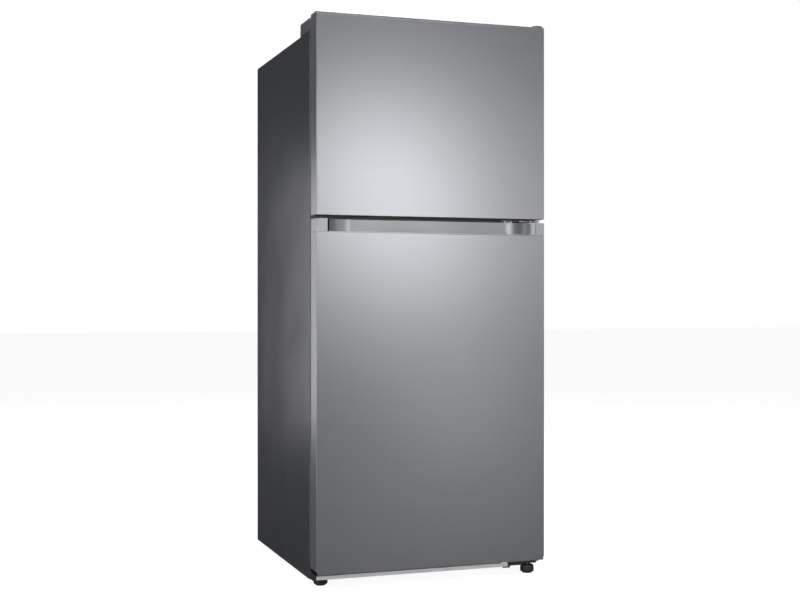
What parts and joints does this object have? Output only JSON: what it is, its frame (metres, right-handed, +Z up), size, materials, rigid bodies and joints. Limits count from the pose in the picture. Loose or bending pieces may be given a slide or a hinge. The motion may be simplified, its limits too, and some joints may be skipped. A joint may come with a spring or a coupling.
{
  "type": "refrigerator",
  "caption": "Top freezer refrigerator: grey steel case, upper freezer door and lower fridge door hinged on the right, recessed grip, door bins, glass shelves, crispers.",
  "frame": {"origin": "on the floor, under the middle of the overall width and depth", "axes": "+Z up; the doors face -Y; +X is on the right of someone who stands in front of the doors, and it is the hinge side"},
  "size_m": [0.73, 0.755, 1.689],
  "materials": {
    "case_paint": "satin dark grey powder coat",
    "back_panel_steel": "galvanised sheet with a dull spangle",
    "foam": "closed-cell insulation foam, dull",
    "liner_white": "glossy formed inner lining",
    "dark_rail": "dark grey painted front rail",
    "black_metal": "black painted steel",
    "screw_steel": "zinc plated screws and stems",
    "kick_silver": "satin silver painted strip",
    "black_plastic": "black moulded plastic, fine grain",
    "black_rubber": "black rubber",
    "grey_board": "dark grey louvred panel",
    "copper_tube": "bare copper tube",
    "fin_aluminium": "bare aluminium",
    "inner_plastic": "white moulded plastic",
    "shelf_glass": "tempered clear glass with green edges",
    "lamp_lens": "frosted lens",
    "fan_plastic": "pale moulded plastic",
    "damper_plastic": "dark moulded plastic",
    "crisper_clear": "clear tinted plastic",
    "slider_plastic": "pale blue moulded plastic",
    "door_steel": "horizontally brushed grey steel with a clear satin coat",
    "door_trim_grey": "metallic grey painted trim",
    "door_cap_dark": "dark grey moulded cap",
    "gasket_grey": "soft dark grey magnetic seal"
  },
  "bodies": {
    "cabinet": {"outer_case": "case_paint", "rear_panel": "back_panel_steel", "insulation_foam": "foam", "freezer_liner": "liner_white", "fridge_liner": "liner_white", "center_rail": "dark_rail", "base_pan": "back_panel_steel", "machine_base": "back_panel_steel", "top_cover": "case_paint", "top_hinge": "black_metal", "mid_hinge": "back_panel_steel", "bottom_hinge": "black_metal", "hinge_cover": "black_plastic", "hinge_screws": "screw_steel", "kick_plate": "kick_silver", "left_leg_bracket": "black_metal", "roller_brackets": "back_panel_steel", "compressor": "black_metal", "compressor_mounts": "black_rubber", "condenser_coil": "black_metal", "condenser_fan_housing": "black_plastic", "drip_pan": "black_plastic", "machine_room_cover": "grey_board", "refrigerant_lines": "copper_tube", "evaporator": "fin_aluminium", "evaporator_cover": "inner_plastic", "evaporator_fan_motor": "inner_plastic", "air_duct_cover": "inner_plastic", "glass_shelves": "shelf_glass", "shelf_trims": "inner_plastic", "crisper_cover": "inner_plastic", "interior_lights": "lamp_lens", "control_panel": "inner_plastic"},
    "freezer_door": {"freezer_door_skin": "door_steel", "freezer_door_core": "foam", "freezer_door_liner": "liner_white", "freezer_door_top_cap": "door_trim_grey", "freezer_door_bottom_cap": "door_cap_dark", "freezer_door_gasket": "gasket_grey", "freezer_door_bins": "crisper_clear"},
    "fridge_door": {"fridge_door_skin": "door_steel", "fridge_door_core": "foam", "fridge_door_liner": "liner_white", "fridge_door_bottom_cap": "door_cap_dark", "fridge_door_gasket": "gasket_grey", "fridge_handle_trim": "door_trim_grey", "fridge_door_bins": "crisper_clear"},
    "left_leg_stem": {"left_leg_stem": "screw_steel"},
    "left_foot": {"left_foot": "black_plastic"},
    "right_leg_stem": {"right_leg_stem": "screw_steel"},
    "right_foot": {"right_foot": "black_plastic"},
    "roller_left": {"roller_left": "black_plastic"},
    "roller_right": {"roller_right": "black_plastic"},
    "condenser_fan_blade": {"condenser_fan_blade": "fan_plastic"},
    "evaporator_fan_blade": {"evaporator_fan_blade": "fan_plastic"},
    "damper_flap": {"damper_flap": "damper_plastic"},
    "crisper_left": {"crisper_left": "crisper_clear"},
    "crisper_right": {"crisper_right": "crisper_clear"},
    "humidity_slider_left": {"humidity_slider_left": "slider_plastic"},
    "humidity_slider_right": {"humidity_slider_right": "slider_plastic"}
  },
  "joints": [
    {"name": "freezer_door_hinge", "type": "hinge", "parent": "cabinet", "child": "freezer_door", "pos_m": [0.348, -0.3515, 1.386], "axis": [0, 0, 1], "range_deg": [0, 130]},
    {"name": "fridge_door_hinge", "type": "hinge", "parent": "cabinet", "child": "fridge_door", "pos_m": [0.348, -0.3515, 0.56], "axis": [0, 0, 1], "range_deg": [0, 130]},
    {"name": "left_leg_slide", "type": "slide", "parent": "cabinet", "child": "left_leg_stem", "axis": [0, 0, -1], "range_m": [0, 0.01]},
    {"name": "left_foot_turn", "type": "hinge", "parent": "left_leg_stem", "child": "left_foot", "pos_m": [-0.335, -0.317, 0.01], "axis": [0, 0, 1], "range_deg": [-5, 2405]},
    {"name": "right_leg_slide", "type": "slide", "parent": "cabinet", "child": "right_leg_stem", "axis": [0, 0, -1], "range_m": [0, 0.01]},
    {"name": "right_foot_turn", "type": "hinge", "parent": "right_leg_stem", "child": "right_foot", "pos_m": [0.316, -0.356, 0.01], "axis": [0, 0, 1], "range_deg": [-5, 2405]},
    {"name": "roller_left_spin", "type": "hinge", "parent": "cabinet", "child": "roller_left", "pos_m": [-0.3, 0.345, 0.014], "axis": [1, 0, 0], "continuous": true},
    {"name": "roller_right_spin", "type": "hinge", "parent": "cabinet", "child": "roller_right", "pos_m": [0.3, 0.345, 0.014], "axis": [1, 0, 0], "continuous": true},
    {"name": "condenser_fan_spin", "type": "hinge", "parent": "cabinet", "child": "condenser_fan_blade", "pos_m": [-0.03, 0.265, 0.13], "axis": [1, 0, 0], "continuous": true},
    {"name": "evaporator_fan_spin", "type": "hinge", "parent": "cabinet", "child": "evaporator_fan_blade", "pos_m": [0, 0.262, 1.5], "axis": [0, 1, 0], "continuous": true},
    {"name": "damper_flap_turn", "type": "hinge", "parent": "cabinet", "child": "damper_flap", "pos_m": [0, 0.266, 1.037], "axis": [-1, 0, 0], "range_deg": [0, 85]},
    {"name": "crisper_left_slide", "type": "slide", "parent": "cabinet", "child": "crisper_left", "axis": [0, -1, 0], "range_m": [0, 0.03]},
    {"name": "crisper_right_slide", "type": "slide", "parent": "cabinet", "child": "crisper_right", "axis": [0, -1, 0], "range_m": [0, 0.03]},
    {"name": "humidity_left_slide", "type": "slide", "parent": "cabinet", "child": "humidity_slider_left", "axis": [1, 0, 0], "range_m": [0, 0.03]},
    {"name": "humidity_right_slide", "type": "slide", "parent": "cabinet", "child": "humidity_slider_right", "axis": [1, 0, 0], "range_m": [0, 0.03]}
  ],
  "couplings": [
    {"joint": "left_foot_turn", "follows": "left_leg_slide", "rad_per_m": 4188.8},
    {"joint": "right_foot_turn", "follows": "right_leg_slide", "rad_per_m": 4188.8}
  ]
}
